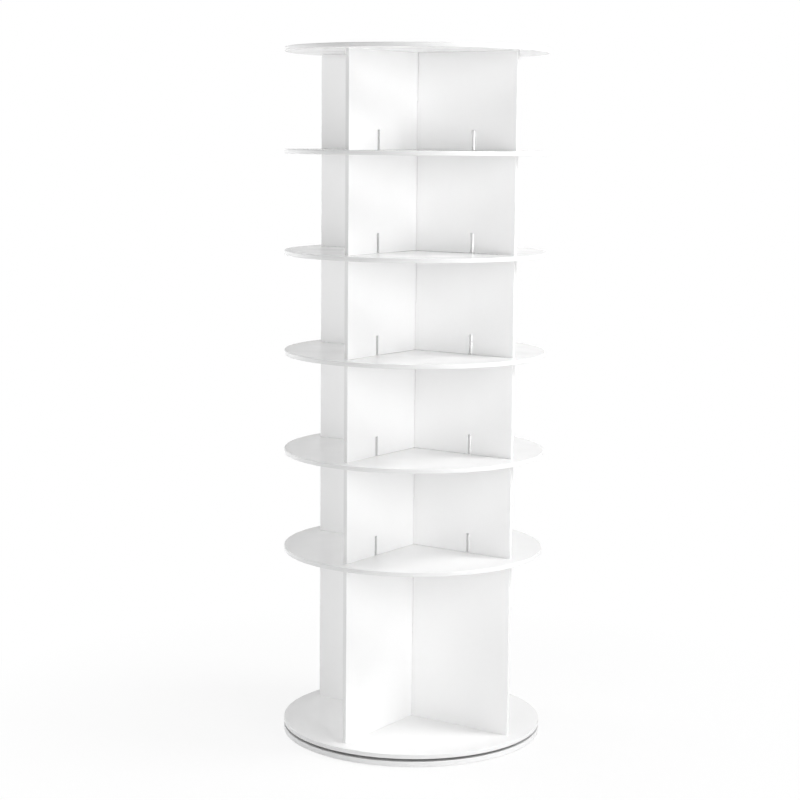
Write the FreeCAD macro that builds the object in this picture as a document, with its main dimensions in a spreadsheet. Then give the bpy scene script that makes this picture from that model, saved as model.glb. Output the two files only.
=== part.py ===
import FreeCAD, Part

# Rotating shoe tower
# -------------------
# A still base disc stands on pads and carries a flat ball race.  On the race
# turns a tower of round boards.  Two crossing divider boards stand in each
# tier and part it into four open compartments: one tall tier for boots at the
# bottom and a stack of equal tiers for shoes above it.
#
# Origin: the centre of the tower, on the floor.  +Z is up and is the axis that
# the tower turns about.  The divider boards run along X and along Y.
# All sizes are millimetres.

import os

import Sketcher
from FreeCAD import Placement
from FreeCAD import Rotation
from FreeCAD import Vector

SHOE_TIERS = 5
WINGS = 4

# The driving sizes: name, value and what it is.  Each becomes a cell of the
# sheet "Sizes", and every feature below is bound to these cells.
SIZES = (
    ("disc_diameter", 600.0, "every round board: base, turntable, shelves and top"),
    ("disc_board", 10.0, "thickness of the turntable, the shelves and the top"),
    ("base_board", 12.0, "thickness of the still base"),
    ("disc_edge_round", 1.0, "rounding of the round boards' rims"),
    ("boot_clear", 401.5, "clear height of the boot tier"),
    ("shoe_clear", 218.5, "clear height of each shoe tier"),
    ("divider_board", 10.0, "thickness of the divider boards"),
    ("divider_reach", 268.0, "from the axis to a divider's outer edge"),
    ("divider_edge_round", 1.5, "rounding of a divider's outer edges"),
    ("lap_play", 0.3, "play on each side of a divider in the slot it crosses"),
    ("notch_radius", 156.0, "from the axis to the middle of a notch"),
    ("notch_play", 0.5, "room beside a clamping screw's head in its notch"),
    ("notch_height", 44.5, "height of that notch above the shelf"),
    ("inner_screw_radius", 70.0, "from the axis to the inner board screws"),
    ("outer_screw_radius", 238.0, "from the axis to the outer board screws"),
    ("board_screw_length", 40.0, "countersunk screw, head to tip"),
    ("board_screw_shank", 4.0, "its shank"),
    ("board_screw_head", 8.0, "its head"),
    ("clamp_screw_length", 40.0, "pan-head screw, from under its head to its tip"),
    ("clamp_screw_shank", 3.5, "its shank"),
    ("clamp_screw_head", 7.0, "its head"),
    ("clamp_screw_head_height", 2.6, "height of its head"),
    ("screw_tip", 4.0, "length of a wood screw's point"),
    ("bore_play", 0.05, "play around a screw in its bore"),
    ("bore_spare", 1.0, "depth of a blind bore past the screw's tip"),
    ("cap_diameter", 13.0, "cover cap on a top screw"),
    ("cap_height", 1.2, "how far a cap stands above the top"),
    ("cap_bevel", 0.6, "bevel around a cap"),
    ("pad_diameter", 36.0, "foot pad"),
    ("pad_height", 2.0, "its thickness"),
    ("outer_pad_radius", 262.0, "from the axis to the outer pads"),
    ("inner_pad_radius", 90.0, "from the axis to the inner pads"),
    ("outer_pad_count", 8.0, "pads near the rim"),
    ("inner_pad_count", 4.0, "pads under the ball race"),
    ("ball_diameter", 4.0, "ball of the race"),
    ("ball_count", 36.0, "balls in the race"),
    ("ball_circle_radius", 135.0, "from the axis to the balls' centres"),
    ("race_play", 0.05, "play around a ball in its groove and in the cage"),
    ("race_lip", 1.0, "height of the race above and below a ball"),
    ("race_relief", 0.6, "running gap between a ring and the board it passes"),
    ("cage_wall", 0.8, "thickness of the cage that spaces the balls"),
    ("cage_play", 0.4, "gap around the cage"),
    ("ring_width", 20.0, "width of each ring of the race"),
    ("ring_screw_count", 6.0, "screws in each ring"),
    ("ring_screw_length", 12.0, "countersunk screw of the inner ring"),
    ("ring_screw_shank", 3.5, "its shank"),
    ("ring_screw_head", 7.0, "its head"),
    ("base_screw_bite", 4.0, "how deep the base's screws enter the outer ring"),
)

# Heights above the floor, from the bottom up.
RACE_HEIGHT = "(Sizes.ball_diameter + 2 * Sizes.race_lip)"
BASE_BOTTOM = "Sizes.pad_height"
BASE_TOP = BASE_BOTTOM + " + Sizes.base_board"
TURNTABLE_BOTTOM = BASE_TOP + " + " + RACE_HEIGHT
TURNTABLE_TOP = TURNTABLE_BOTTOM + " + Sizes.disc_board"

# Radii of the ball race.
HALF_RACE_GAP = "(Sizes.cage_wall / 2 + Sizes.cage_play)"
INNER_RING_OUTSIDE = "(Sizes.ball_circle_radius - " + HALF_RACE_GAP + ")"
OUTER_RING_INSIDE = "(Sizes.ball_circle_radius + " + HALF_RACE_GAP + ")"
INNER_RING_SCREWS = "(" + INNER_RING_OUTSIDE + " - Sizes.ring_width / 2)"
OUTER_RING_SCREWS = "(" + OUTER_RING_INSIDE + " + Sizes.ring_width / 2)"
RING_HEIGHT = "(" + RACE_HEIGHT + " - Sizes.race_relief)"

BOARD_SCREW_RADII = ("Sizes.inner_screw_radius", "Sizes.outer_screw_radius")

doc = FreeCAD.newDocument("RotatingShoeTower")
pieces = []


def make_sheet():
    """Write the driving sizes into the sheet, one row each."""
    sheet = doc.addObject("Spreadsheet::Sheet", "Sizes")
    for row, (alias, value, note) in enumerate(SIZES, start=1):
        sheet.set("A%d" % row, alias)
        sheet.set("B%d" % row, str(value))
        sheet.set("C%d" % row, note)
        sheet.setAlias("B%d" % row, alias)
    doc.recompute()


def shelf_bottom(level):
    """Underside of shelf 1 to 5, counted from the bottom; one more is the top board."""
    return TURNTABLE_TOP + " + Sizes.boot_clear + %d * (Sizes.disc_board + Sizes.shoe_clear)" % (level - 1)


def shelf_top(level):
    """Upper face of the same shelf."""
    return shelf_bottom(level) + " + Sizes.disc_board"


# Small helpers for bodies and sketches

def new_body(label, bottom, turned=0.0):
    """A named piece whose own zero height lies at the height given by bottom."""
    body = doc.addObject("PartDesign::Body", label)
    body.Label = label
    body.Placement = Placement(Vector(0, 0, 0), Rotation(Vector(0, 0, 1), turned))
    body.setExpression("Placement.Base.z", bottom)
    pieces.append(body)
    return body


def origin_part(body, role):
    """The body's own origin plane or axis that has this role."""
    for item in body.Origin.OriginFeatures:
        if item.Role == role:
            return item
    raise ValueError(role)


def new_sketch(body, name, plane, lift=None):
    """A sketch on one of the body's origin planes, lifted along its normal if asked."""
    sketch = body.newObject("Sketcher::SketchObject", name)
    sketch.AttachmentSupport = [(origin_part(body, plane), "")]
    sketch.MapMode = "FlatFace"
    if lift:
        sketch.setExpression("AttachmentOffset.Base.z", lift)
    return sketch


def value_of(expression):
    """What an expression gives with the sizes in the sheet."""
    return float(doc.Sizes.evalExpression(expression))


def bind(sketch, kind, expression, *where):
    """Add a dimension to a sketch and bind it to the sheet."""
    number = sketch.addConstraint(Sketcher.Constraint(kind, *where, value_of(expression)))
    sketch.setExpression("Constraints[%d]" % number, expression)


def draw_outline(sketch, corners):
    """A closed outline of straight lines, each corner placed from the sketch's origin."""
    first = sketch.GeometryCount
    points = [Vector(value_of(across), value_of(up), 0) for across, up in corners]
    for start, end in zip(points, points[1:] + points[:1]):
        sketch.addGeometry(Part.LineSegment(start, end), False)
    for number, (across, up) in enumerate(corners):
        line = first + number
        following = first + (number + 1) % len(corners)
        sketch.addConstraint(Sketcher.Constraint("Coincident", line, 2, following, 1))
        bind(sketch, "DistanceX", across, -1, 1, line, 1)
        bind(sketch, "DistanceY", up, -1, 1, line, 1)


def draw_rectangle(sketch, left, right, bottom, top):
    """A rectangle between two distances across and two up."""
    draw_outline(sketch, ((left, bottom), (right, bottom), (right, top), (left, top)))


def draw_circle(sketch, diameter, across="0", up="0"):
    """A circle, its centre placed from the sketch's origin."""
    centre = Vector(value_of(across), value_of(up), 0)
    circle = sketch.addGeometry(Part.Circle(centre, Vector(0, 0, 1), value_of(diameter) / 2), False)
    bind(sketch, "DistanceX", across, -1, 1, circle, 3)
    bind(sketch, "DistanceY", up, -1, 1, circle, 3)
    bind(sketch, "Diameter", diameter, circle)


def pad(body, sketch, length, symmetric=False):
    """Thicken a sketch, upwards or to both sides of its plane."""
    feature = body.newObject("PartDesign::Pad", sketch.Name + "_pad")
    feature.Profile = sketch
    feature.setExpression("Length", length)
    feature.Midplane = symmetric
    doc.recompute()
    return feature


def pocket(body, sketch, depth=None, along_normal=False):
    """Cut a sketch away to a depth, or right through when no depth is given."""
    feature = body.newObject("PartDesign::Pocket", sketch.Name + "_pocket")
    feature.Profile = sketch
    feature.Reversed = along_normal
    if depth:
        feature.setExpression("Length", depth)
    else:
        feature.Type = "ThroughAll"
        feature.Midplane = True
    doc.recompute()
    return feature


def revolve(body, sketch, axis_edge):
    """Turn an outline about one of its own lines."""
    feature = body.newObject("PartDesign::Revolution", sketch.Name + "_turned")
    feature.Profile = sketch
    feature.ReferenceAxis = (sketch, [axis_edge])
    feature.Angle = 360
    return feature


def repeat_round_axis(body, features, count):
    """Repeat features evenly around the tower's axis."""
    pattern = body.newObject("PartDesign::PolarPattern", features[0].Name + "_ring")
    pattern.Originals = features
    pattern.Axis = (origin_part(body, "Z_Axis"), [""])
    pattern.Angle = 360
    pattern.setExpression("Occurrences", count)
    body.Tip = pattern
    doc.recompute()


def round_edges(body, base, radius, wanted):
    """Round those edges of a feature that a test picks."""
    chosen = ["Edge%d" % number for number, edge in enumerate(base.Shape.Edges, start=1) if wanted(edge)]
    feature = body.newObject("PartDesign::Fillet", base.Name + "_rounded")
    feature.Base = (base, chosen)
    feature.setExpression("Radius", radius)
    doc.recompute()


# Screws and other small turned pieces

def countersunk_screw(length, shank, head, downwards=False):
    """Half outline of a flat-head screw, head first, ending on its axis."""
    sign = "-" if downwards else ""
    head_radius = head + " / 2"
    shank_radius = shank + " / 2"
    return (
        ("0", "0"),
        (head_radius, "0"),
        (shank_radius, "%s(%s - %s)" % (sign, head_radius, shank_radius)),
        (shank_radius, "%s(%s - Sizes.screw_tip)" % (sign, length)),
        ("0", "%s(%s)" % (sign, length)),
    )


def pan_head_screw():
    """Half outline of the clamping screw, its round head standing on zero height."""
    return (
        ("0", "Sizes.clamp_screw_head_height"),
        ("Sizes.clamp_screw_head / 4", "Sizes.clamp_screw_head_height"),
        ("Sizes.clamp_screw_head / 2", "Sizes.clamp_screw_head_height / 2"),
        ("Sizes.clamp_screw_head / 2", "0"),
        ("Sizes.clamp_screw_shank / 2", "0"),
        ("Sizes.clamp_screw_shank / 2", "-(Sizes.clamp_screw_length - Sizes.screw_tip)"),
        ("0", "-Sizes.clamp_screw_length"),
    )


def machine_screw():
    """Half outline of a flat-head screw with a blunt end, from the base into the outer ring."""
    head_radius = "Sizes.board_screw_head / 2"
    shank_radius = "Sizes.board_screw_shank / 2"
    length = "Sizes.base_board + Sizes.base_screw_bite"
    return (
        ("0", "0"),
        (head_radius, "0"),
        (shank_radius, "%s - %s" % (head_radius, shank_radius)),
        (shank_radius, length),
        ("0", length),
    )


def cover_cap():
    """Half outline of a low round cap with a bevelled edge."""
    return (
        ("0", "0"),
        ("Sizes.cap_diameter / 2", "0"),
        ("Sizes.cap_diameter / 2", "Sizes.cap_height - Sizes.cap_bevel"),
        ("Sizes.cap_diameter / 2 - Sizes.cap_bevel", "Sizes.cap_height"),
        ("0", "Sizes.cap_height"),
    )


def ring_of_turned_pieces(label, bottom, radii, count, outline):
    """Equal turned pieces, at one or more radii, repeated around the axis."""
    body = new_body(label, bottom)
    turned = []
    for number, radius in enumerate(radii, start=1):
        sketch = new_sketch(body, "%s_outline_%d" % (label, number), "XZ_Plane")
        draw_outline(sketch, [("%s + %s" % (radius, across), up) for across, up in outline])
        turned.append(revolve(body, sketch, "Edge%d" % len(outline)))
    repeat_round_axis(body, turned, count)


def drill(body, name, radii, count, diameter, start=None, depth=None, upwards=False, head=None):
    """Bores along Z, repeated around the axis, blind or through, countersunk if a head is given."""
    sketch = new_sketch(body, body.Name + name, "XY_Plane", start)
    for radius in radii:
        draw_circle(sketch, diameter, radius)
    doc.recompute()
    hole = body.newObject("PartDesign::Hole", sketch.Name + "_bore")
    hole.Profile = sketch
    doc.recompute()
    hole.Reversed = upwards
    hole.DrillPoint = "Flat"
    hole.setExpression("Diameter", diameter + " + 2 * Sizes.bore_play")
    if depth:
        hole.DepthType = "Dimension"
        hole.setExpression("Depth", depth)
    else:
        hole.DepthType = "ThroughAll"
    if head:
        hole.HoleCutType = "Countersink"
        hole.HoleCutCountersinkAngle = 90
        hole.setExpression("HoleCutDiameter", head + " + 2 * Sizes.bore_play")
    repeat_round_axis(body, [hole], count)


# The round boards

def round_board(label, bottom, thickness):
    """A disc with its rim rounded."""
    body = new_body(label, bottom)
    sketch = new_sketch(body, label + "_circle", "XY_Plane")
    draw_circle(sketch, "Sizes.disc_diameter")
    plate = pad(body, sketch, thickness)
    round_edges(body, plate, "Sizes.disc_edge_round", lambda edge: isinstance(edge.Curve, Part.Circle))
    return body


def drill_for_boards_above(body):
    """Countersunk bores from the underside, for the screws up into the dividers."""
    drill(body, "_up", BOARD_SCREW_RADII, str(WINGS), "Sizes.board_screw_shank",
          upwards=True, head="Sizes.board_screw_head")


def make_base():
    """The still disc, drilled from below for the screws into the outer ring."""
    base = round_board("base_disc", BASE_BOTTOM, "Sizes.base_board")
    drill(base, "_ring", (OUTER_RING_SCREWS,), "Sizes.ring_screw_count", "Sizes.board_screw_shank",
          upwards=True, head="Sizes.board_screw_head")


def make_turntable():
    """The lowest turning board: board screws go through it, ring screws enter it from below."""
    turntable = round_board("turntable_disc", TURNTABLE_BOTTOM, "Sizes.disc_board")
    drill_for_boards_above(turntable)
    drill(turntable, "_ring", (INNER_RING_SCREWS,), "Sizes.ring_screw_count", "Sizes.ring_screw_shank",
          upwards=True, depth="Sizes.ring_screw_length - %s + Sizes.bore_spare" % RING_HEIGHT)


def make_shelf(level):
    """A shelf: screws go up from it into the boards above, and down into those below."""
    shelf = round_board("shelf_%d" % level, shelf_bottom(level), "Sizes.disc_board")
    drill_for_boards_above(shelf)
    drill(shelf, "_clamp", ("Sizes.notch_radius",), str(WINGS), "Sizes.clamp_screw_shank", upwards=True)


def make_top():
    """The top board, countersunk from above."""
    top = round_board("top_disc", shelf_bottom(SHOE_TIERS + 1), "Sizes.disc_board")
    drill(top, "_down", BOARD_SCREW_RADII, str(WINGS), "Sizes.board_screw_shank",
          start="Sizes.disc_board", head="Sizes.board_screw_head")


# The divider boards

def both_sides(radii):
    """The same distances to both sides of the axis."""
    return ["%s%s" % (sign, radius) for radius in radii for sign in ("", "-")]


def bore_edge(body, name, radii, shank, depth, height=None):
    """Blind screw bores into a divider's lower edge, or its upper edge when a height is given."""
    sketch = new_sketch(body, body.Name + name, "XY_Plane", height)
    for radius in both_sides(radii):
        draw_circle(sketch, shank + " + 2 * Sizes.bore_play", radius)
    pocket(body, sketch, depth, along_normal=not height)


def divider(label, bottom, height, turned, slot_at_top, notched, clamped_above):
    """One board that crosses the whole tier, lapped at its middle with the one across it."""
    body = new_body(label, bottom, turned)
    sketch = new_sketch(body, label + "_face", "XZ_Plane")
    draw_rectangle(sketch, "-Sizes.divider_reach", "Sizes.divider_reach", "0", height)
    board = pad(body, sketch, "Sizes.divider_board", symmetric=True)
    reach = value_of("Sizes.divider_reach")

    def is_outer_upright(edge):
        ends = [abs(abs(vertex.X) - reach) < 0.001 for vertex in edge.Vertexes]
        return all(ends) and abs(edge.Length - value_of(height)) < 0.001

    round_edges(body, board, "Sizes.divider_edge_round", is_outer_upright)

    cuts = new_sketch(body, label + "_cuts", "XZ_Plane")
    half_slot = "(Sizes.divider_board / 2 + Sizes.lap_play)"
    half_height = height + " / 2"
    if slot_at_top:
        draw_rectangle(cuts, "-" + half_slot, half_slot, half_height, height)
    else:
        draw_rectangle(cuts, "-" + half_slot, half_slot, "0", half_height)
    if notched:
        half_notch = "(Sizes.clamp_screw_head / 2 + Sizes.notch_play)"
        near = "(Sizes.notch_radius - %s)" % half_notch
        far = "(Sizes.notch_radius + %s)" % half_notch
        draw_rectangle(cuts, near, far, "0", "Sizes.notch_height")
        draw_rectangle(cuts, "-" + far, "-" + near, "0", "Sizes.notch_height")
    pocket(body, cuts)

    board_screw_depth = "Sizes.board_screw_length - Sizes.disc_board + Sizes.bore_spare"
    clamp_screw_depth = "Sizes.clamp_screw_length - Sizes.disc_board + Sizes.bore_spare"
    bore_edge(body, "_low", BOARD_SCREW_RADII, "Sizes.board_screw_shank", board_screw_depth)
    if clamped_above:
        bore_edge(body, "_high", ("Sizes.notch_radius",), "Sizes.clamp_screw_shank",
                  clamp_screw_depth, height)
    else:
        bore_edge(body, "_high", BOARD_SCREW_RADII, "Sizes.board_screw_shank", board_screw_depth, height)


def make_tier(name, bottom, height, notched, clamped_above):
    """The two crossing boards of one tier."""
    divider(name + "_board_x", bottom, height, 0, True, notched, clamped_above)
    divider(name + "_board_y", bottom, height, 90, False, notched, clamped_above)


# The ball race between base and turntable

def race_ring(label, bottom, inside, outside, groove_height):
    """One ring of the race, with its groove for the balls."""
    body = new_body(label, bottom)
    sketch = new_sketch(body, label + "_circles", "XY_Plane")
    draw_circle(sketch, "2 * " + inside)
    draw_circle(sketch, "2 * " + outside)
    pad(body, sketch, RING_HEIGHT)
    groove = body.newObject("PartDesign::SubtractiveTorus", label + "_groove")
    groove.AttachmentSupport = [(origin_part(body, "XY_Plane"), "")]
    groove.MapMode = "FlatFace"
    groove.setExpression("AttachmentOffset.Base.z", groove_height)
    groove.setExpression("Radius1", "Sizes.ball_circle_radius")
    groove.setExpression("Radius2", "Sizes.ball_diameter / 2 + Sizes.race_play")
    doc.recompute()
    return body


def make_race():
    """Outer ring on the base, inner ring under the turntable, balls and their cage between."""
    ball_height = RACE_HEIGHT + " / 2"
    outer = race_ring("swivel_outer_ring", BASE_TOP, OUTER_RING_INSIDE,
                      "(%s + Sizes.ring_width)" % OUTER_RING_INSIDE, ball_height)
    drill(outer, "_fixing", (OUTER_RING_SCREWS,), "Sizes.ring_screw_count", "Sizes.board_screw_shank",
          upwards=True, depth="Sizes.base_screw_bite + Sizes.bore_spare / 2")
    inner = race_ring("swivel_inner_ring", BASE_TOP + " + Sizes.race_relief",
                      "(%s - Sizes.ring_width)" % INNER_RING_OUTSIDE, INNER_RING_OUTSIDE,
                      ball_height + " - Sizes.race_relief")
    drill(inner, "_fixing", (INNER_RING_SCREWS,), "Sizes.ring_screw_count", "Sizes.ring_screw_shank",
          upwards=True, head="Sizes.ring_screw_head")

    balls = new_body("swivel_balls", BASE_TOP + " + " + ball_height)
    ball = balls.newObject("PartDesign::AdditiveSphere", "ball")
    ball.AttachmentSupport = [(origin_part(balls, "XY_Plane"), "")]
    ball.MapMode = "FlatFace"
    ball.setExpression("AttachmentOffset.Base.x", "Sizes.ball_circle_radius")
    ball.setExpression("Radius", "Sizes.ball_diameter / 2")
    repeat_round_axis(balls, [ball], "Sizes.ball_count")

    cage = new_body("swivel_ball_cage", BASE_TOP + " + Sizes.cage_play")
    band = new_sketch(cage, "cage_circles", "XY_Plane")
    draw_circle(band, "2 * Sizes.ball_circle_radius - Sizes.cage_wall")
    draw_circle(band, "2 * Sizes.ball_circle_radius + Sizes.cage_wall")
    pad(cage, band, RACE_HEIGHT + " - 2 * Sizes.cage_play")
    window = new_sketch(cage, "cage_window", "YZ_Plane")
    draw_circle(window, "Sizes.ball_diameter + 2 * Sizes.race_play", up=ball_height + " - Sizes.cage_play")
    opening = pocket(cage, window, "Sizes.ball_circle_radius + Sizes.cage_wall", along_normal=True)
    repeat_round_axis(cage, [opening], "Sizes.ball_count")


def make_pads():
    """Flat foot pads in two rings under the base."""
    body = new_body("base_pads", "0")
    rings = (
        ("outer", "Sizes.outer_pad_radius", "Sizes.outer_pad_count"),
        ("inner", "Sizes.inner_pad_radius", "Sizes.inner_pad_count"),
    )
    for name, radius, count in rings:
        sketch = new_sketch(body, name + "_pad_circle", "XY_Plane")
        draw_circle(sketch, "Sizes.pad_diameter", radius)
        feature = pad(body, sketch, "Sizes.pad_height")
        repeat_round_axis(body, [feature], count)


def make_screws():
    """Every group of fasteners."""
    board_screw = countersunk_screw("Sizes.board_screw_length", "Sizes.board_screw_shank",
                                    "Sizes.board_screw_head")
    top_screw = countersunk_screw("Sizes.board_screw_length", "Sizes.board_screw_shank",
                                  "Sizes.board_screw_head", downwards=True)
    ring_screw = countersunk_screw("Sizes.ring_screw_length", "Sizes.ring_screw_shank",
                                   "Sizes.ring_screw_head")
    wings = str(WINGS)
    top = shelf_top(SHOE_TIERS + 1)
    ring_of_turned_pieces("swivel_outer_ring_screws", BASE_BOTTOM, (OUTER_RING_SCREWS,),
                          "Sizes.ring_screw_count", machine_screw())
    ring_of_turned_pieces("swivel_inner_ring_screws", BASE_TOP + " + Sizes.race_relief",
                          (INNER_RING_SCREWS,), "Sizes.ring_screw_count", ring_screw)
    ring_of_turned_pieces("turntable_board_screws", TURNTABLE_BOTTOM, BOARD_SCREW_RADII, wings, board_screw)
    for level in range(1, SHOE_TIERS + 1):
        ring_of_turned_pieces("shelf_%d_board_screws" % level, shelf_bottom(level), BOARD_SCREW_RADII,
                              wings, board_screw)
        ring_of_turned_pieces("shelf_%d_clamp_screws" % level, shelf_top(level), ("Sizes.notch_radius",),
                              wings, pan_head_screw())
    ring_of_turned_pieces("top_disc_screws", top, BOARD_SCREW_RADII, wings, top_screw)
    ring_of_turned_pieces("top_screw_caps", top, BOARD_SCREW_RADII, wings, cover_cap())


def check_everything():
    """Stop if any feature failed or any piece is empty or invalid."""
    for item in doc.Objects:
        if "Invalid" in item.State or "Error" in item.State:
            raise RuntimeError("%s failed: %s" % (item.Label, item.State))
    for piece in pieces:
        if piece.Shape.isNull() or not piece.Shape.isValid() or not piece.Shape.Solids:
            raise RuntimeError("%s has no valid solid" % piece.Label)


make_sheet()
make_pads()
make_base()
make_race()
make_turntable()
make_tier("boot_tier", TURNTABLE_TOP, "Sizes.boot_clear", notched=False, clamped_above=True)
for tier in range(1, SHOE_TIERS + 1):
    make_shelf(tier)
    make_tier("shoe_tier_%d" % tier, shelf_top(tier), "Sizes.shoe_clear",
              notched=True, clamped_above=tier < SHOE_TIERS)
make_top()
make_screws()
doc.recompute()
check_everything()

os.makedirs("parts", exist_ok=True)
for piece in pieces:
    piece.Shape.exportStep("parts/%s.step" % piece.Label)
    print("%-28s %2d solid(s) %12.1f mm3" % (piece.Label, len(piece.Shape.Solids), piece.Shape.Volume))
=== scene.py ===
# %% [markdown]
# # A rotating shoe tower
#
# The object is a tower of round boards, 1.58 m high, that turns on a flat ball race. Crossing dividers
# stand between the boards and part each tier into four open compartments. A construction model already
# gives the place of every piece. This lesson makes the boards, screws, caps and pads again with the
# edges and marks that real ones have, gives each its finish, and sets up a plain studio.

# %% Load the construction model
import math
import random
import bpy
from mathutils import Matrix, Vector


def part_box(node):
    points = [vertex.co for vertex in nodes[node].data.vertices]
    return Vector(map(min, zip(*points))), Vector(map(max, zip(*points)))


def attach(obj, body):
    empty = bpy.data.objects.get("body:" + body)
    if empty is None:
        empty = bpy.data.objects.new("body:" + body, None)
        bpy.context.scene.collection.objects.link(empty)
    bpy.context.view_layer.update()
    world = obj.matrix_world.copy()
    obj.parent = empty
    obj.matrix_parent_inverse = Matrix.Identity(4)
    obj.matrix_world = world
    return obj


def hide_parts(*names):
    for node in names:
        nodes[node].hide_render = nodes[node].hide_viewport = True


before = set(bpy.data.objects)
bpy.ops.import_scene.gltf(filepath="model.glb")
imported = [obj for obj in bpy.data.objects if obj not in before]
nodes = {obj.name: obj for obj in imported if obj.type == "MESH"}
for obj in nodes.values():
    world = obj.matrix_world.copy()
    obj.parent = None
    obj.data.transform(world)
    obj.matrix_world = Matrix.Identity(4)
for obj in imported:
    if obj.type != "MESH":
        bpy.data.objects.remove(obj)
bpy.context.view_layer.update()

# %% [markdown]
# ## The camera
#
# A tall, narrow thing is seen from some way off with a long lens, so that its uprights stay nearly
# parallel. A camera can be aimed by eye or by numbers. Here it gets numbers: it stands at chest height,
# looks a little down and is turned 35 degrees away from the boards that run from front to back. The lens
# is in millimetres for a sensor 36 mm wide, and a slight shift sets the tower in the middle of the frame.

# %% Add the camera
CAMERA_PLACE = (2.4572, -3.6175, 1.3839)
CAMERA_DEGREES = (82.740, -0.491, 34.683)
LENS = 85.75
SHIFT = -0.025

bpy.ops.object.select_all(action="DESELECT")
aim = [math.radians(angle) for angle in CAMERA_DEGREES]
bpy.ops.object.camera_add(location=CAMERA_PLACE, rotation=aim)
camera = bpy.context.object
camera.name = "camera"
camera.data.lens = LENS
camera.data.shift_y = SHIFT
bpy.context.scene.camera = camera
print("camera", round(camera.location.xy.length, 2), "m from the tower's axis")

# %% [markdown]
# ## Choosing faces and edges in code
#
# By hand, faces are picked with the mouse. In a script they are picked by where they are or which way
# they look. The first of these four helpers leaves edit mode and makes one object the only one selected,
# and the second clears the selection inside it. The other two mark the faces or the edges that a test
# accepts and stay in edit mode, ready for the next tool. Two lengths count as equal when they differ by
# less than a thousandth of a millimetre, and a face as flat when it leans by less than 8 degrees.

# %% Helpers for selecting
NEAR = 1e-6
FLAT = 0.99


def only(piece):
    if bpy.context.object and bpy.context.object.mode == "EDIT":
        bpy.ops.object.mode_set(mode="OBJECT")
    bpy.ops.object.select_all(action="DESELECT")
    piece.select_set(True)
    bpy.context.view_layer.objects.active = piece


def pick_nothing(piece, kind):
    only(piece)
    bpy.ops.object.mode_set(mode="EDIT")
    bpy.ops.mesh.select_mode(type=kind)
    bpy.ops.mesh.select_all(action="DESELECT")
    bpy.ops.object.mode_set(mode="OBJECT")


def pick_faces(piece, wanted):
    pick_nothing(piece, "FACE")
    for face in piece.data.polygons:
        face.select = wanted(face)
    bpy.ops.object.mode_set(mode="EDIT")


def pick_edges(piece, wanted):
    pick_nothing(piece, "EDGE")
    for edge in piece.data.edges:
        start, end = (piece.data.vertices[i].co for i in edge.vertices)
        edge.select = wanted(start, end)
    bpy.ops.object.mode_set(mode="EDIT")

# %% [markdown]
# ## Screw bores
#
# Every board is drilled for its screws. A bore can be cut with a Boolean modifier, which takes one
# shape out of another. The screws of the construction model are already in the right places, so a copy
# of them, swollen by 0.05 mm, serves as the cutter. The copy's loose triangles are merged first, as a
# Boolean needs a closed shape, and its stored shading is dropped, as the cut would hand it to the board.

# %% A helper that drills a board for its screws
SWELLING = 0.00005
MERGE_WITHIN = 0.000002


def take_away(piece, cutter):
    only(piece)
    bpy.ops.object.modifier_add(type="BOOLEAN")
    piece.modifiers[-1].operation = "DIFFERENCE"
    piece.modifiers[-1].object = cutter
    bpy.ops.object.modifier_apply(modifier=piece.modifiers[-1].name)
    bpy.data.objects.remove(cutter)


def drill(board, *screw_nodes):
    for name in screw_nodes:
        cutter = nodes[name].copy()
        cutter.data = nodes[name].data.copy()
        bpy.context.scene.collection.objects.link(cutter)
        cutter.hide_viewport = False
        only(cutter)
        bpy.ops.mesh.customdata_custom_splitnormals_clear()
        bpy.ops.object.mode_set(mode="EDIT")
        bpy.ops.mesh.select_all(action="SELECT")
        bpy.ops.mesh.remove_doubles(threshold=MERGE_WITHIN)
        bpy.ops.object.mode_set(mode="OBJECT")
        bpy.ops.object.modifier_add(type="DISPLACE")
        cutter.modifiers[-1].strength = SWELLING
        cutter.modifiers[-1].mid_level = 0.0
        bpy.ops.object.modifier_apply(modifier=cutter.modifiers[-1].name)
        take_away(board, cutter)

# %% [markdown]
# ## The round boards
#
# Each is a disc of MDF, 10 or 12 mm thick, cut on a router and run round with a small rounding cutter.
# A disc could be a circle given thickness, but a cylinder primitive is that already. Its two rims are
# bevelled to the 1 mm rounding. A thin inset on each flat face then keeps the smooth shading of the
# rounding from spreading over the whole board.

# %% Make one round board
RIM_SIDES = 360
RIM_ROUND = 0.001
FACE_INSET = 0.002
SMOOTH_ANGLE = 32


def smooth(piece, degrees=SMOOTH_ANGLE):
    only(piece)
    bpy.ops.object.shade_smooth_by_angle(angle=math.radians(degrees))


def round_board(node, *screw_nodes):
    low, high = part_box(node)
    radius = -low.x
    middle = (low.z + high.z) / 2
    bpy.ops.object.select_all(action="DESELECT")
    bpy.ops.mesh.primitive_cylinder_add(
        vertices=RIM_SIDES, radius=radius, depth=high.z - low.z, location=(0, 0, middle))
    board = bpy.context.object
    board.name = node + "_lacquered"
    bpy.ops.object.transform_apply(location=True, rotation=False, scale=False)
    pick_edges(board, lambda a, b: abs(a.z - b.z) < NEAR)
    bpy.ops.mesh.bevel(offset=RIM_ROUND, segments=3, affect="EDGES")
    pick_faces(board, lambda face: abs(face.normal.z) > FLAT)
    bpy.ops.mesh.inset(thickness=FACE_INSET)
    drill(board, *screw_nodes)
    smooth(board)
    print(board.name, len(board.data.polygons), "faces")
    return board


base = round_board("base_disc", "swivel_outer_ring_screws")
turntable = round_board("turntable_disc", "turntable_board_screws", "swivel_inner_ring_screws")
top = round_board("top_disc", "top_disc_screws")
shelves = [round_board("shelf_1", "shelf_1_board_screws", "shelf_1_clamp_screws")]

# %% [markdown]
# ## Copies up the tower
#
# The five shelves are the same board, and so are the lower four shoe tiers, so each is made once and
# copied upwards by the height of a tier. A duplicate moved by its location would hold its place in the
# object, so the move is applied to the mesh, and every copy keeps a mesh of its own.

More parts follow.
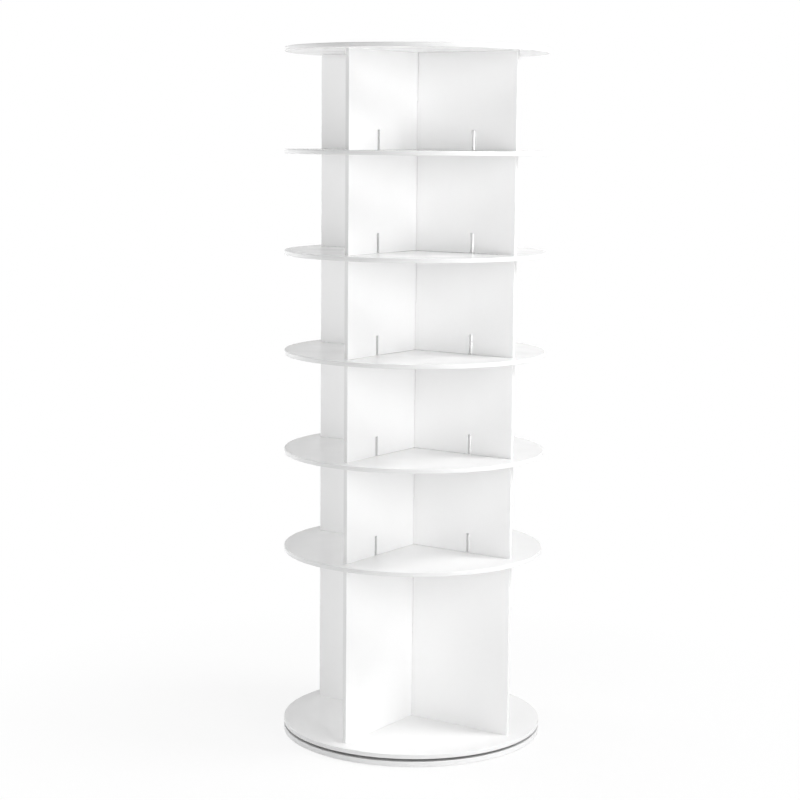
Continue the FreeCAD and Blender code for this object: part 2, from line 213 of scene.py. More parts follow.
# %% Copy the shelf
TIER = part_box("shelf_2")[0].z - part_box("shelf_1")[0].z


def copy_up(piece, name, rise):
    only(piece)
    bpy.ops.object.duplicate(linked=False)
    twin = bpy.context.object
    twin.name = name
    twin.location.z = rise
    bpy.ops.object.transform_apply(location=True, rotation=False, scale=False)
    return twin


for level in range(2, 6):
    shelves.append(copy_up(shelves[0], "shelf_%d_lacquered" % level, TIER * (level - 1)))
print("tiers", round(TIER * 1000, 1), "mm apart,", len(shelves), "shelves")

# %% [markdown]
# ## The divider boards
#
# Two boards cross in each tier. Each has a slot half its height, so that they lap over each other, and
# in the shoe tiers two notches that stand open on the shelf and give room for a screw head. As on a real
# board, the outline comes first and the thickness after: a plane is cut along the lines of the slot and
# the notches, the waste is deleted, and the rest is extruded by 10 mm. Its outer uprights, the only
# upright edges there that are longer than 100 mm, are rounded 1.5 mm. Every edge of its two faces that
# isn't part of this rounding is eased by 0.8 mm before lacquering, because lacquer creeps back from a
# sharp edge, and that easing is what draws a fine dark line wherever one board meets another. A board
# for the other direction is made the same way and then turned.

# %% Make one divider board
THICKNESS = 0.010
LAP_PLAY = 0.0003
NOTCH_MIDDLE = 0.156
NOTCH_WIDTH = 0.008
NOTCH_HEIGHT = 0.0445
UPRIGHT_ROUND = 0.0015
UPRIGHT_LENGTH = 0.1
EASING = 0.0008
PAST_ROUNDING = 1.05
STRAIGHT = 0.01
lap_edge = THICKNESS / 2 + LAP_PLAY
notch_near = NOTCH_MIDDLE - NOTCH_WIDTH / 2
notch_far = NOTCH_MIDDLE + NOTCH_WIDTH / 2


def divider(node, notched, slot_on_top, along_y, *screw_nodes):
    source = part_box(node)
    bottom, head = source[0].z, source[1].z
    reach = source[1].y if along_y else source[1].x
    half = (bottom + head) / 2
    front = -THICKNESS / 2
    bpy.ops.object.select_all(action="DESELECT")
    bpy.ops.mesh.primitive_plane_add(size=1, location=(0, front, half), rotation=(math.pi / 2, 0, 0))
    board = bpy.context.object
    board.name = node + "_lacquered"
    board.scale = (2 * reach, head - bottom, 1)
    bpy.ops.object.transform_apply(location=True, rotation=True, scale=True)
    bpy.ops.object.mode_set(mode="EDIT")
    across = [-lap_edge, lap_edge]
    up = [half]
    if notched:
        across += [-notch_far, -notch_near, notch_near, notch_far]
        up.append(bottom + NOTCH_HEIGHT)
    for x in across:
        bpy.ops.mesh.select_all(action="SELECT")
        bpy.ops.mesh.bisect(plane_co=(x, 0, 0), plane_no=(1, 0, 0))
    for z in up:
        bpy.ops.mesh.select_all(action="SELECT")
        bpy.ops.mesh.bisect(plane_co=(0, 0, z), plane_no=(0, 0, 1))

    def waste(face):
        x, z = abs(face.center.x), face.center.z
        in_slot = x < lap_edge and (z > half) == slot_on_top
        in_notch = notched and notch_near < x < notch_far and z < bottom + NOTCH_HEIGHT
        return in_slot or in_notch

    pick_faces(board, waste)
    bpy.ops.mesh.delete(type="FACE")
    bpy.ops.mesh.select_all(action="SELECT")
    bpy.ops.mesh.dissolve_limited(angle_limit=STRAIGHT)
    bpy.ops.mesh.select_all(action="SELECT")
    bpy.ops.mesh.extrude_region_move(TRANSFORM_OT_translate={"value": (0, THICKNESS, 0)})
    bpy.ops.mesh.select_all(action="SELECT")
    bpy.ops.mesh.normals_make_consistent(inside=False)

    def upright(a, b):
        at_an_end = abs(a.x - b.x) < NEAR and abs(a.x) > reach - 10 * NEAR
        return at_an_end and abs(a.z - b.z) > UPRIGHT_LENGTH

    def sharp(a, b):
        on_face = abs(a.y - b.y) < NEAR and abs(abs(a.y) - THICKNESS / 2) < NEAR
        return on_face and min(abs(a.x), abs(b.x)) < reach - PAST_ROUNDING * UPRIGHT_ROUND

    pick_edges(board, upright)
    bpy.ops.mesh.bevel(offset=UPRIGHT_ROUND, segments=3, affect="EDGES")
    pick_edges(board, sharp)
    bpy.ops.mesh.bevel(offset=EASING, segments=2, affect="EDGES")
    bpy.ops.object.mode_set(mode="OBJECT")
    if along_y:
        board.rotation_euler.z = math.pi / 2
        bpy.ops.object.transform_apply(location=False, rotation=True, scale=False)
    drill(board, *screw_nodes)
    smooth(board)
    bpy.ops.object.modifier_add(type="WEIGHTED_NORMAL")
    board.modifiers[-1].keep_sharp = True
    bpy.ops.object.modifier_apply(modifier=board.modifiers[-1].name)
    print(board.name, len(board.data.polygons), "faces")
    return board

# %% [markdown]
# ## Two boards for each tier
#
# The boards along X have their slot at the top and the boards along Y theirs at the bottom. The boot
# tier's boards have no notches. The highest shoe tier is made for itself, because the screws of the top
# come down into it from above.

# %% Make the divider boards
dividers = {}
for letter in "xy":
    slot_on_top = letter == "x"
    along_y = letter == "y"
    node = "boot_tier_board_" + letter
    dividers[node] = divider(
        node, False, slot_on_top, along_y, "turntable_board_screws", "shelf_1_clamp_screws")
    low_tier = "shoe_tier_1_board_" + letter
    dividers[low_tier] = divider(
        low_tier, True, slot_on_top, along_y, "shelf_1_board_screws", "shelf_2_clamp_screws")
    for tier in range(2, 5):
        node = "shoe_tier_%d_board_%s" % (tier, letter)
        dividers[node] = copy_up(dividers[low_tier], node + "_lacquered", TIER * (tier - 1))
    node = "shoe_tier_5_board_" + letter
    dividers[node] = divider(
        node, True, slot_on_top, along_y, "shelf_5_board_screws", "top_disc_screws")
print(len(dividers), "divider boards")

# %% [markdown]
# ## Screws
#
# Flat-pack furniture is held by bright zinc screws with a cross recess. A screw could be spun from a
# half outline, but it is just as quick to start from a circle and extrude it upwards again and again,
# changing its width each time.

# %% Grow a turned shape from a circle
def turned(name, start, steps, sides=32):
    bpy.ops.object.select_all(action="DESELECT")
    bpy.ops.mesh.primitive_circle_add(vertices=sides, radius=start, fill_type="NGON")
    piece = bpy.context.object
    piece.name = name
    bpy.ops.object.mode_set(mode="EDIT")
    bpy.ops.mesh.select_all(action="SELECT")
    width = start
    for rise, next_width in steps:
        bpy.ops.mesh.extrude_region_move(TRANSFORM_OT_translate={"value": (0, 0, rise)})
        scale = next_width / width
        bpy.ops.transform.resize(value=(scale, scale, 1))
        width = next_width
    bpy.ops.mesh.select_all(action="SELECT")
    bpy.ops.mesh.normals_make_consistent(inside=False)
    bpy.ops.object.mode_set(mode="OBJECT")
    return piece

# %% [markdown]
# ## The cross recess
#
# A driver turns the screw by a cross sunk into its head. It could be built into the head face by face.
# Two crossing blades that narrow inwards, taken out of the head one after the other, leave the same
# shape with less work. A blade is about a fifth as thick as it is wide, and half as wide at its tip.

# %% Cut the cross recess
BLADE_THICKNESS = 0.22
BLADE_TIP = 0.5


def cut_recess(screw, width, depth):
    for angle in (0, math.pi / 2):
        bpy.ops.object.select_all(action="DESELECT")
        bpy.ops.mesh.primitive_cube_add(size=1, rotation=(0, 0, angle))
        blade = bpy.context.object
        blade.scale = (width, BLADE_THICKNESS * width, 2 * depth)
        bpy.ops.object.transform_apply(location=False, rotation=True, scale=True)
        pick_faces(blade, lambda face: face.normal.z > FLAT)
        bpy.ops.transform.resize(value=(BLADE_TIP, BLADE_TIP, 1))
        take_away(screw, blade)

# %% [markdown]
# ## The thread
#
# A thread is a small triangle swept up a helix, which is what the Screw modifier does. The triangle's
# foot takes up 0.7 of the pitch and leaves a bare band of the core between two turns. The sweep is open
# at both ends, so the ends are found as edges with only one face and filled. Core and thread are joined
# and overlap, as the thread starts just inside the core.

# %% Sweep the thread
HALF_FOOT = 0.35
TURN_STEPS = 12


def add_thread(screw, start, end, pitch, core, crest):
    bpy.ops.object.select_all(action="DESELECT")
    bpy.ops.mesh.primitive_circle_add(vertices=3, radius=1, fill_type="NOTHING")
    ridge = bpy.context.object
    corners = ((core, -HALF_FOOT * pitch), (crest, 0), (core, HALF_FOOT * pitch))
    for vertex, (out, rise) in zip(ridge.data.vertices, corners):
        vertex.co = (out, 0, start + rise)
    bpy.ops.object.modifier_add(type="SCREW")
    sweep = ridge.modifiers[-1]
    sweep.screw_offset = pitch
    sweep.iterations = int((end - start) / pitch)
    sweep.steps = sweep.render_steps = TURN_STEPS
    bpy.ops.object.modifier_apply(modifier=sweep.name)
    pick_nothing(ridge, "EDGE")
    bpy.ops.object.mode_set(mode="EDIT")
    bpy.ops.mesh.select_non_manifold()
    bpy.ops.mesh.fill_holes(sides=3)
    bpy.ops.mesh.select_all(action="SELECT")
    bpy.ops.mesh.normals_make_consistent(inside=False)
    only(screw)
    ridge.select_set(True)
    bpy.ops.object.join()

# %% [markdown]
# ## Four kinds of screw
#
# Long countersunk screws hold the boards, pan-headed ones clamp the shelves down in the notches, and
# two short kinds hold the rings of the ball race. Each kind is made once, in the middle of the floor
# with its head down, and copies of it go to the boards. Its widths are radii. The head is a list of
# rises with the radius reached at each. The core, the shoulder and the tip are shares of the shank's
# radius, the recess takes its size from the head's, and the thread's ends lie a part of a turn inside
# the stretch that carries it.

# %% Make the four kinds of screw
CORE = 0.7
SHOULDER = 0.15
TIP = 0.1
RECESS_WIDTH = 1.1
RECESS_DEPTH = 0.4
FOOT_IN_CORE = 0.9
CREST_IN_SHANK = 0.99
RUN_IN = 0.6
RUN_OUT = 0.4
SMALL_PART_ANGLE = 40


def make_screw(name, start, head, shank, length, point, plain, pitch):
    core = CORE * shank
    shoulder = SHOULDER * shank
    top_of_head = sum(rise for rise, width in head)
    threaded = length - top_of_head - plain - shoulder - point
    steps = head + [(plain, shank), (shoulder, core), (threaded, core)]
    if point:
        steps.append((point, TIP * shank))
    screw = turned(name, start, steps)
    head_width = max([start] + [width for rise, width in head])
    cut_recess(screw, RECESS_WIDTH * head_width, RECESS_DEPTH * head_width)
    first = top_of_head + plain + RUN_IN * pitch
    last = length - point - RUN_OUT * pitch
    add_thread(screw, first, last, pitch, FOOT_IN_CORE * core, CREST_IN_SHANK * shank)
    smooth(screw, SMALL_PART_ANGLE)
    print(name, len(screw.data.polygons), "faces,", round(screw.dimensions.z * 1000, 1), "mm long")
    return screw


pan_head = [(0.0003, 0.0026), (0.0007, 0.0033), (0.0006, 0.0035), (0.0010, 0.0035), (0.0, 0.00175)]
board_screw = make_screw(
    "board_screw", start=0.004, head=[(0.002, 0.002)], shank=0.002, length=0.040,
    point=0.004, plain=0.010, pitch=0.0018)
clamp_screw = make_screw(
    "clamp_screw", start=0.0014, head=pan_head, shank=0.00175, length=0.0426,
    point=0.004, plain=0.010, pitch=0.0016)
base_screw = make_screw(
    "base_screw", start=0.004, head=[(0.002, 0.002)], shank=0.002, length=0.016,
    point=0.0, plain=0.002, pitch=0.0010)
ring_screw = make_screw(
    "ring_screw", start=0.0035, head=[(0.00175, 0.00175)], shank=0.00175, length=0.012,
    point=0.004, plain=0.0004, pitch=0.0014)

# %% [markdown]
# ## Setting out
#
# Screws, caps and pads all sit on circles round the tower's axis, evenly spaced, so a circle is given by
# its radius and the number on it. A copy is placed and turned for each, and the copies are joined into
# one piece, because a set of like fasteners is one line in the parts list. No two screws are driven to
# the same angle, so each gets a turn of its own from a seeded draw.

# %% Place the screws
BOARD_SCREW_CIRCLES = ((0.070, 4), (0.238, 4))
CLAMP_SCREW_CIRCLES = ((NOTCH_MIDDLE, 4),)
OUTER_RING_CIRCLES = ((0.1458, 6),)
INNER_RING_CIRCLES = ((0.1242, 6),)


def set_out(master, name, circles, height, turned_over=False, seed=1):
    draw = random.Random(seed)
    copies = []
    for radius, count in circles:
        for step in range(count):
            around = 2 * math.pi * step / count
            only(master)
            bpy.ops.object.duplicate(linked=False)
            copy = bpy.context.object
            copy.location = (radius * math.cos(around), radius * math.sin(around), height)
            copy.rotation_euler = (math.pi if turned_over else 0, 0, draw.uniform(0, math.pi))
            copies.append(copy)
    only(copies[0])
    for copy in copies:
        copy.select_set(True)
    bpy.ops.object.join()
    group = bpy.context.object
    group.name = name
    bpy.ops.object.transform_apply(location=True, rotation=True, scale=True)
    return group


screws = {}
for level in range(1, 6):
    node = "shelf_%d_board_screws" % level
    screws[node] = set_out(
        board_screw, node + "_zinc", BOARD_SCREW_CIRCLES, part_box(node)[0].z, seed=level)
    node = "shelf_%d_clamp_screws" % level
    screws[node] = set_out(
        clamp_screw, node + "_zinc", CLAMP_SCREW_CIRCLES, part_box(node)[1].z, True, seed=10 + level)
node = "turntable_board_screws"
screws[node] = set_out(board_screw, node + "_zinc", BOARD_SCREW_CIRCLES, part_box(node)[0].z, seed=21)
node = "top_disc_screws"
screws[node] = set_out(board_screw, node + "_zinc", BOARD_SCREW_CIRCLES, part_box(node)[1].z, True, seed=22)
node = "swivel_outer_ring_screws"
screws[node] = set_out(base_screw, node + "_zinc", OUTER_RING_CIRCLES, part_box(node)[0].z, seed=23)
node = "swivel_inner_ring_screws"
screws[node] = set_out(ring_screw, node + "_zinc", INNER_RING_CIRCLES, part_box(node)[0].z, seed=24)
print(len(screws), "sets of screws")

# %% [markdown]
# ## Cover caps
#
# A cover cap hides each screw in the top. It is a button of moulded polythene, 13 mm across, with a
# rounded edge and a slightly raised middle. It could be turned from an outline like the screws. A short
# cylinder is as quick: its upper rim is bevelled, and its face is inset and lifted twice.

# %% Make the caps
CAP_RADIUS = 0.0065
CAP_HEIGHT = 0.001
CAP_ROUND = 0.0005
CROWN_STEPS = ((0.0015, 0.00012), (0.0015, 0.00008))

bpy.ops.object.select_all(action="DESELECT")
bpy.ops.mesh.primitive_cylinder_add(
    vertices=40, radius=CAP_RADIUS, depth=CAP_HEIGHT, location=(0, 0, CAP_HEIGHT / 2))
cap = bpy.context.object
bpy.ops.object.transform_apply(location=True, rotation=False, scale=False)
pick_edges(cap, lambda a, b: min(a.z, b.z) > 0.9 * CAP_HEIGHT)
bpy.ops.mesh.bevel(offset=CAP_ROUND, segments=3, affect="EDGES")
for width, rise in CROWN_STEPS:
    pick_faces(cap, lambda face: face.normal.z > FLAT and len(face.vertices) > 4)
    bpy.ops.mesh.inset(thickness=width)
    bpy.ops.transform.translate(value=(0, 0, rise))
smooth(cap, SMALL_PART_ANGLE)
caps = set_out(
    cap, "top_screw_caps_white", BOARD_SCREW_CIRCLES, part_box("top_screw_caps")[0].z, seed=31)
print("caps", len(caps.data.polygons), "faces")

# %% [markdown]
# ## Foot pads
#
# The tower stands on round pads of rubber, cut from 2 mm sheet, whose edges are just softened. They are
# made like the round boards: a short cylinder with bevelled rims and an inset on each face. Once the
# pads are set out, the single screws, cap and pad that everything was copied from are removed.

# %% Make the pads
PAD_RADIUS = 0.018
PAD_THICKNESS = 0.002
PAD_ROUND = 0.0004
PAD_INSET = 0.0008
PAD_CIRCLES = ((0.262, 8), (0.090, 4))

bpy.ops.object.select_all(action="DESELECT")
bpy.ops.mesh.primitive_cylinder_add(
    vertices=64, radius=PAD_RADIUS, depth=PAD_THICKNESS, location=(0, 0, PAD_THICKNESS / 2))
pad = bpy.context.object
bpy.ops.object.transform_apply(location=True, rotation=False, scale=False)
pick_edges(pad, lambda a, b: abs(a.z - b.z) < NEAR)
bpy.ops.mesh.bevel(offset=PAD_ROUND, segments=3, affect="EDGES")
pick_faces(pad, lambda face: abs(face.normal.z) > FLAT)
bpy.ops.mesh.inset(thickness=PAD_INSET)
smooth(pad)
pads = set_out(pad, "base_pads_rubber", PAD_CIRCLES, 0.0, seed=32)

for master in (board_screw, clamp_screw, base_screw, ring_screw, cap, pad):
    bpy.data.objects.remove(master)
print("pads", len(pads.data.polygons), "faces")

# %% [markdown]
# ## Colours and nodes
#
# A colour is written as the hex value that a paint chart or a screen shows, and one function turns it
# into the linear numbers that a shader works with. A second function adds a node, with its settings and
# what is plugged into it. Patterns read the piece's own coordinates in metres, so a scale of one over
# the size in metres gives marks of that size. A socket is named where its name is the only one of its
# kind. A Mix node has several of each name, so its share, its two colours and its result go by number.
# A noise texture seldom leaves the middle of its range, so the ranges that read it start and end there.

# %% Helpers for finishes
SHARE = 0
COLOUR_A = 6
COLOUR_B = 7
MIXED = 2
NOISE_LOW = 0.3
NOISE_HIGH = 0.7


def linear(hex_colour):
    parts = [int(hex_colour[i:i + 2], 16) / 255 for i in (1, 3, 5)]
    return [p / 12.92 if p <= 0.04045 else ((p + 0.055) / 1.055) ** 2.4 for p in parts] + [1.0]


def add_node(tree, kind, inputs, **settings):
    node = tree.nodes.new(kind)
    for name, value in settings.items():
        setattr(node, name, value)
    for socket, value in inputs.items():
        if isinstance(value, bpy.types.NodeSocket):
            tree.links.new(value, node.inputs[socket])
        else:
            node.inputs[socket].default_value = value
    return node


def begin_finish(name, roughness, metallic=0.0):
    finish = bpy.data.materials.new(name)
    finish.use_nodes = True
    shader = finish.node_tree.nodes["Principled BSDF"]
    shader.inputs["Roughness"].default_value = roughness
    shader.inputs["Metallic"].default_value = metallic
    place = add_node(finish.node_tree, "ShaderNodeTexCoord", {}).outputs["Object"]
    return finish, finish.node_tree, shader, place

# %% [markdown]
# ## Silky white lacquer on MDF
#
# The boards are sprayed with a white polyurethane lacquer of a silky gloss. To the eye that is an even,
# neutral white with a sheen: things near it show as soft, pale shapes. Sprayed lacquer dries with a
# faint orange peel, whose cells are about 3 mm wide, over the long, shallow swell of the board itself,
# some 80 mm across. The film's sheen also drifts a little where the spray passes overlap.

# %% Lacquered face
PEEL_CELL = 0.003
PEEL_HEIGHT = 0.00001
BOARD_SWELL = 0.080
SWELL_HEIGHT = 0.00004
SPRAY_PASS = 0.150

lacquered_face, tree, shader, place = begin_finish("silky_lacquer_on_MDF", roughness=0.18)
shader.inputs["IOR"].default_value = 1.5
drift = add_node(tree, "ShaderNodeTexNoise", {"Vector": place, "Scale": 1 / SPRAY_PASS, "Detail": 2.0})
tone = add_node(
    tree, "ShaderNodeMix",
    {SHARE: drift.outputs["Fac"], COLOUR_A: linear("#F3F3F3"), COLOUR_B: linear("#F7F7F7")},
    data_type="RGBA")
tree.links.new(tone.outputs[MIXED], shader.inputs["Base Color"])
sheen = add_node(
    tree, "ShaderNodeMapRange",
    {"Value": drift.outputs["Fac"], "From Min": NOISE_LOW, "From Max": NOISE_HIGH,
     "To Min": 0.15, "To Max": 0.22})
tree.links.new(sheen.outputs["Result"], shader.inputs["Roughness"])
peel = add_node(tree, "ShaderNodeTexNoise", {"Vector": place, "Scale": 1 / PEEL_CELL, "Detail": 1.0})
swell = add_node(tree, "ShaderNodeTexNoise", {"Vector": place, "Scale": 1 / BOARD_SWELL, "Detail": 0.0})
fine = add_node(
    tree, "ShaderNodeBump",
    {"Height": peel.outputs["Fac"], "Strength": 1.0, "Distance": PEEL_HEIGHT})
relief = add_node(
    tree, "ShaderNodeBump",
    {"Height": swell.outputs["Fac"], "Strength": 1.0, "Distance": SWELL_HEIGHT,
     "Normal": fine.outputs["Normal"]})
tree.links.new(relief.outputs["Normal"], shader.inputs["Normal"])
print(lacquered_face.name, "has", len(tree.nodes), "nodes")

# %% [markdown]
# ## The lacquered edge
#
# A cut edge of MDF drinks lacquer. Even after sanding and a second coat its fibres stand up a little, so
# the edge is duller than the face and a shade greyer, with a grain of about 1 mm. It gets a finish of its
# own, which goes to the rims, the uprights and the notches.

# %% Lacquered edge
FIBRE = 0.0012
FIBRE_HEIGHT = 0.00002

lacquered_edge, tree, shader, place = begin_finish("silky_lacquer_on_cut_edge", roughness=0.6)
shader.inputs["IOR"].default_value = 1.5
grain = add_node(tree, "ShaderNodeTexNoise", {"Vector": place, "Scale": 1 / FIBRE, "Detail": 3.0})
tone = add_node(
    tree, "ShaderNodeMix",
    {SHARE: grain.outputs["Fac"], COLOUR_A: linear("#DDDDDD"), COLOUR_B: linear("#E5E5E5")},
    data_type="RGBA")
tree.links.new(tone.outputs[MIXED], shader.inputs["Base Color"])
sheen = add_node(
    tree, "ShaderNodeMapRange",
    {"Value": grain.outputs["Fac"], "From Min": NOISE_LOW, "From Max": NOISE_HIGH,
     "To Min": 0.52, "To Max": 0.66})
tree.links.new(sheen.outputs["Result"], shader.inputs["Roughness"])
relief = add_node(
    tree, "ShaderNodeBump",
    {"Height": grain.outputs["Fac"], "Strength": 1.0, "Distance": FIBRE_HEIGHT})
tree.links.new(relief.outputs["Normal"], shader.inputs["Normal"])
print(lacquered_edge.name, "has", len(tree.nodes), "nodes")

# %% [markdown]
# ## Painted shade in the gap of the ball race
#
# Two faces look at each other across the narrow gap of the ball race, where hardly anything of them
# shows. They are given a matt grey instead of the white lacquer. It is painted shade, so that the gap
# looks darker than white boards would make it. The grey has soft clouds some 20 mm across and a chalky
# grain just under 1 mm.

# %% Grey painted shade for the race gap
CLOUD = 0.020
CHALK = 0.0008
CHALK_HEIGHT = 0.00002

# This grey stands in for the shade inside the gap of the ball race: it is painted shade.
painted_gap_shade, tree, shader, place = begin_finish("grey_painted_gap_shade", roughness=0.7)
shader.inputs["IOR"].default_value = 1.5
clouds = add_node(tree, "ShaderNodeTexNoise", {"Vector": place, "Scale": 1 / CLOUD, "Detail": 3.0})
tone = add_node(
    tree, "ShaderNodeMix",
    {SHARE: clouds.outputs["Fac"], COLOUR_A: linear("#C4C4C4"), COLOUR_B: linear("#CCCCCC")},
    data_type="RGBA")
tree.links.new(tone.outputs[MIXED], shader.inputs["Base Color"])
chalk = add_node(tree, "ShaderNodeTexNoise", {"Vector": place, "Scale": 1 / CHALK, "Detail": 2.0})
relief = add_node(
    tree, "ShaderNodeBump",
    {"Height": chalk.outputs["Fac"], "Strength": 1.0, "Distance": CHALK_HEIGHT})
tree.links.new(relief.outputs["Normal"], shader.inputs["Normal"])
print(painted_gap_shade.name, "has", len(tree.nodes), "nodes")

# %% [markdown]
# ## Coating the boards
#
# An object can carry several finishes, one in each material slot, and each face names its slot. Like
# coats of paint, the later ones go over the earlier: a board is lacquered everywhere, then its edges get
# the duller lacquer, and the two faces at the ball race a grey that is painted shade. A flat face of a
# divider looks along the axis that the board doesn't run along, and whatever leans away from that is edge.

# %% Coat the boards
DISC_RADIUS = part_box("top_disc")[1].x
FLAT_ENDS = DISC_RADIUS - 1.5 * RIM_ROUND
RIM_STARTS = DISC_RADIUS - 2 * RIM_ROUND
LEANING = 0.9


def coat(board, *areas):
    for number, (finish, wanted) in enumerate(areas):
        board.data.materials.append(finish)
        pick_faces(board, wanted)
        board.active_material_index = number
        bpy.ops.object.material_slot_assign()
    only(board)


def everywhere(face):
    return True


def on_rim(face):
    return face.center.xy.length > RIM_STARTS


def faces_up(face):
    return face.normal.z > FLAT and face.center.xy.length < FLAT_ENDS


def faces_down(face):
    return face.normal.z < -FLAT and face.center.xy.length < FLAT_ENDS


for board in [top] + shelves:
    coat(board, (lacquered_face, everywhere), (lacquered_edge, on_rim))
# The faces inside the ball race gap get the grey of painted shade.
coat(base, (lacquered_face, everywhere), (lacquered_edge, on_rim), (painted_gap_shade, faces_up))
coat(turntable, (lacquered_face, everywhere), (lacquered_edge, on_rim), (painted_gap_shade, faces_down))
for node, board in dividers.items():
    across = 1 if node.endswith("x") else 0

    def on_edge(face):
        return abs(face.normal[across]) < LEANING

    coat(board, (lacquered_face, everywhere), (lacquered_edge, on_edge))
print("coated", len(shelves) + 3, "round boards and", len(dividers), "dividers")

# %% [markdown]
# ## Bright zinc
#
# The screws are steel, plated with zinc and dipped in a clear chromate. That leaves a bright metal with a
# cool tint that shifts to straw in patches a few millimetres across, and a fine satin from the rolling
# of the thread. Its streaks are finer than the 0.6 mm drawn here, which is about as fine as can show.

# %% Zinc finish
ZINC_PATCH = 0.004
SATIN = 0.0006

zinc, tree, shader, place = begin_finish("bright_zinc_plate", roughness=0.3, metallic=1.0)
patches = add_node(tree, "ShaderNodeTexNoise", {"Vector": place, "Scale": 1 / ZINC_PATCH, "Detail": 2.0})
tint = add_node(
    tree, "ShaderNodeMix",
    {SHARE: patches.outputs["Fac"], COLOUR_A: linear("#C3CAD3"), COLOUR_B: linear("#D8D5C8")},
    data_type="RGBA")
tree.links.new(tint.outputs[MIXED], shader.inputs["Base Color"])
satin = add_node(tree, "ShaderNodeTexNoise", {"Vector": place, "Scale": 1 / SATIN, "Detail": 2.0})
sheen = add_node(
    tree, "ShaderNodeMapRange",
    {"Value": satin.outputs["Fac"], "From Min": NOISE_LOW, "From Max": NOISE_HIGH,
     "To Min": 0.24, "To Max": 0.40})
tree.links.new(sheen.outputs["Result"], shader.inputs["Roughness"])
for group in screws.values():
    group.data.materials.append(zinc)
print(zinc.name, "has", len(tree.nodes), "nodes and goes to", len(screws), "sets of screws")

# %% [markdown]
# ## White polythene
#
# The caps are white polythene, moulded smooth. To the eye it is a little waxy and warmer than the
# lacquer beside it, with soft clouds about 5 mm across where the plastic flowed together.

# %% Polythene for the caps
FLOW_CLOUD = 0.005
FLOW_HEIGHT = 0.00003

polythene, tree, shader, place = begin_finish("white_polythene", roughness=0.38)
shader.inputs["IOR"].default_value = 1.51
clouds = add_node(tree, "ShaderNodeTexNoise", {"Vector": place, "Scale": 1 / FLOW_CLOUD, "Detail": 2.0})
tone = add_node(
    tree, "ShaderNodeMix",
    {SHARE: clouds.outputs["Fac"], COLOUR_A: linear("#EDEDEA"), COLOUR_B: linear("#F4F4F2")},
    data_type="RGBA")
tree.links.new(tone.outputs[MIXED], shader.inputs["Base Color"])
relief = add_node(
    tree, "ShaderNodeBump",
    {"Height": clouds.outputs["Fac"], "Strength": 1.0, "Distance": FLOW_HEIGHT})
tree.links.new(relief.outputs["Normal"], shader.inputs["Normal"])
caps.data.materials.append(polythene)
print(polythene.name, "has", len(tree.nodes), "nodes")

# %% [markdown]
# ## Black rubber
#
# The pads are black rubber sheet, matt and finely pitted, with pits just under 1 mm apart that make it
# look dry and soft.

# %% Rubber for the pads
PIT = 0.0009
PIT_DEPTH = 0.00008

rubber, tree, shader, place = begin_finish("black_sheet_rubber", roughness=0.82)
shader.inputs["IOR"].default_value = 1.52
pits = add_node(tree, "ShaderNodeTexVoronoi", {"Vector": place, "Scale": 1 / PIT})
tone = add_node(
    tree, "ShaderNodeMix",
    {SHARE: pits.outputs["Distance"], COLOUR_A: linear("#171717"), COLOUR_B: linear("#2B2B2B")},
    data_type="RGBA")
tree.links.new(tone.outputs[MIXED], shader.inputs["Base Color"])
relief = add_node(
    tree, "ShaderNodeBump",
    {"Height": pits.outputs["Distance"], "Strength": 1.0, "Distance": PIT_DEPTH})
tree.links.new(relief.outputs["Normal"], shader.inputs["Normal"])
pads.data.materials.append(rubber)
print(rubber.name, "has", len(tree.nodes), "nodes")

# %% [markdown]
# ## Black nylon
#
# The cage of the ball race is black moulded nylon, which takes the fine spark-eroded grain of its mould
# and so looks evenly dull. The grain is about 0.5 mm.

# %% Nylon for the ball cage
SPARK = 0.0005
SPARK_HEIGHT = 0.00003

nylon, tree, shader, place = begin_finish("black_moulded_nylon", roughness=0.5)
shader.inputs["IOR"].default_value = 1.53
spark = add_node(tree, "ShaderNodeTexNoise", {"Vector": place, "Scale": 1 / SPARK, "Detail": 1.0})
tone = add_node(
    tree, "ShaderNodeMix",
    {SHARE: spark.outputs["Fac"], COLOUR_A: linear("#131313"), COLOUR_B: linear("#1F1F1F")},
    data_type="RGBA")
tree.links.new(tone.outputs[MIXED], shader.inputs["Base Color"])
relief = add_node(
    tree, "ShaderNodeBump",
    {"Height": spark.outputs["Fac"], "Strength": 1.0, "Distance": SPARK_HEIGHT})
tree.links.new(relief.outputs["Normal"], shader.inputs["Normal"])
print(nylon.name, "has", len(tree.nodes), "nodes")

# %% [markdown]
# ## Turned aluminium
#
# The two rings of the ball race are turned from aluminium, which leaves fine rings round the axis that
# catch the light. Their real spacing is about 0.2 mm, too fine to show, so they are drawn 0.8 mm apart.
# A wave texture at a scale of one repeats every 2 pi / 20, and its scale is worked out from that.

# %% Aluminium for the rings
TURNING_STEP = 0.0008
TURNING_HEIGHT = 0.00003
WAVE_REPEAT = 2 * math.pi / 20

aluminium, tree, shader, place = begin_finish("turned_aluminium", roughness=0.35, metallic=1.0)
turning = add_node(
    tree, "ShaderNodeTexWave",
    {"Vector": place, "Scale": WAVE_REPEAT / TURNING_STEP, "Distortion": 0.4},
    wave_type="RINGS", rings_direction="Z")
tint = add_node(
    tree, "ShaderNodeMix",
    {SHARE: turning.outputs["Fac"], COLOUR_A: linear("#A2A5A8"), COLOUR_B: linear("#B6B8BA")},
    data_type="RGBA")
tree.links.new(tint.outputs[MIXED], shader.inputs["Base Color"])
relief = add_node(
    tree, "ShaderNodeBump",
    {"Height": turning.outputs["Fac"], "Strength": 0.6, "Distance": TURNING_HEIGHT})
tree.links.new(relief.outputs["Normal"], shader.inputs["Normal"])
print(aluminium.name, "has", len(tree.nodes), "nodes")

# %% [markdown]
# ## Ball steel
#
# The balls are hardened chrome steel, ground and lapped, so that they mirror everything with hardly a
# mark. Only the sharpness of the mirror drifts a little, in patches of about 1 mm. The race keeps its
# shapes from the construction model and only gets its finishes here.

# %% Steel for the balls, and the finishes of the race
LAPPING_PATCH = 0.001

